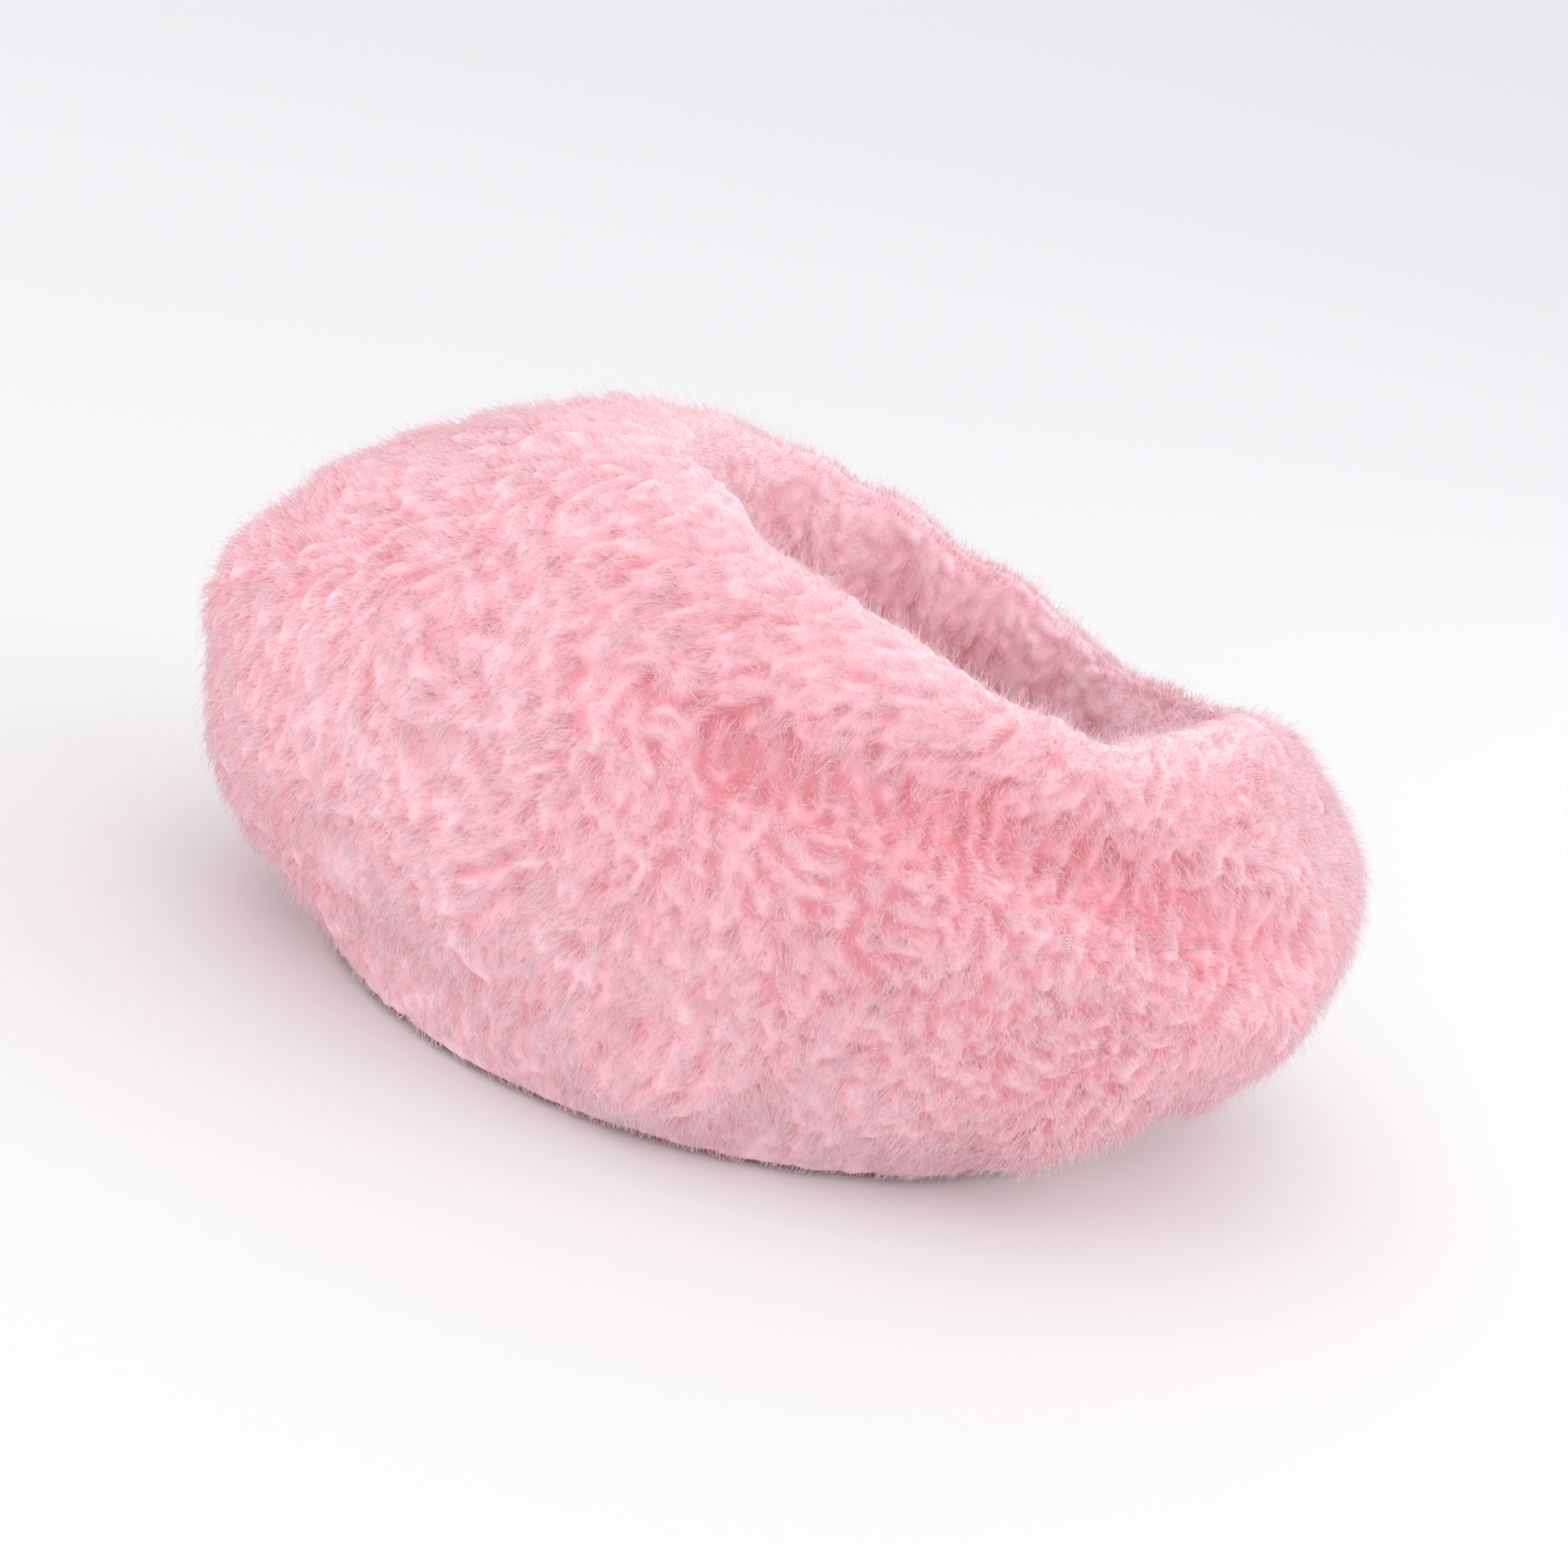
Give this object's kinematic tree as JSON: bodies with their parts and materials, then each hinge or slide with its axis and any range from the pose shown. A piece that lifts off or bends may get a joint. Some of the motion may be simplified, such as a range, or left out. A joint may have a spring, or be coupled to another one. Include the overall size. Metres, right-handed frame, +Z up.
{
  "type": "pet cushion bed",
  "caption": "Oval stuffed pet bed of long dyed wool: a high bolster rim, lower at one end, round a deep nest with a loose cushion, on a zipped flat base.",
  "frame": {"origin": "middle of the bed's footprint box, on the surface that it rests on", "axes": "+X along the bed towards its low end, +Y to its rear long side, +Z up"},
  "size_m": [0.4519, 0.303, 0.225],
  "materials": {
    "shearling": "long dyed sheepskin wool, matt with soft pale tips",
    "calico": "plain undyed cotton",
    "fibre_fill": "loose white hollow fibre",
    "foam": "open-cell foam",
    "felt": "needled felt",
    "base_cloth": "padded woven cloth with rubber grip dots",
    "cushion_cloth": "brushed cotton twill",
    "binding": "herringbone tape",
    "thread": "polyester thread",
    "zip_tape": "woven polyester tape",
    "zip_teeth": "moulded resin teeth",
    "zip_metal": "nickel-plated zinc",
    "label": "satin ribbon, blank"
  },
  "bodies": {
    "bed": {"rim_cover": "shearling", "wall_cover": "shearling", "nest_lining": "shearling", "rim_casing": "calico", "wall_casing": "calico", "lining_backing": "calico", "chamber_divider": "calico", "rim_filling": "fibre_fill", "wall_filling": "fibre_fill", "rim_seam_thread": "thread", "base_foam": "foam", "nest_floor": "cushion_cloth", "base_pad": "felt", "base_binding": "binding", "base_panel_front": "base_cloth", "base_panel_rear": "base_cloth", "base_seam_thread": "thread", "care_label": "label", "zip_tape_front": "zip_tape", "zip_tape_rear": "zip_tape", "zip_teeth_front": "zip_teeth", "zip_teeth_rear": "zip_teeth", "zip_stop_open": "zip_metal", "zip_stop_closed": "zip_metal"},
    "zip_slider": {"zip_slider": "zip_metal"},
    "zip_pull": {"zip_pull": "zip_metal"},
    "cushion": {"cushion_cover_top": "shearling", "cushion_cover_bottom": "cushion_cloth", "cushion_filling": "fibre_fill", "cushion_piping": "cushion_cloth"}
  },
  "joints": [
    {"name": "cushion_lift", "type": "slide", "parent": "bed", "child": "cushion", "axis": [0, 0, 1], "range_m": [0, 0.2]},
    {"name": "zip_run", "type": "slide", "parent": "bed", "child": "zip_slider", "axis": [-1, 0, 0], "range_m": [0, 0.208]},
    {"name": "pull_swing", "type": "hinge", "parent": "zip_slider", "child": "zip_pull", "pos_m": [0.101, 0.042, 0.0008], "axis": [0, -1, 0], "range_deg": [0, 180]}
  ]
}
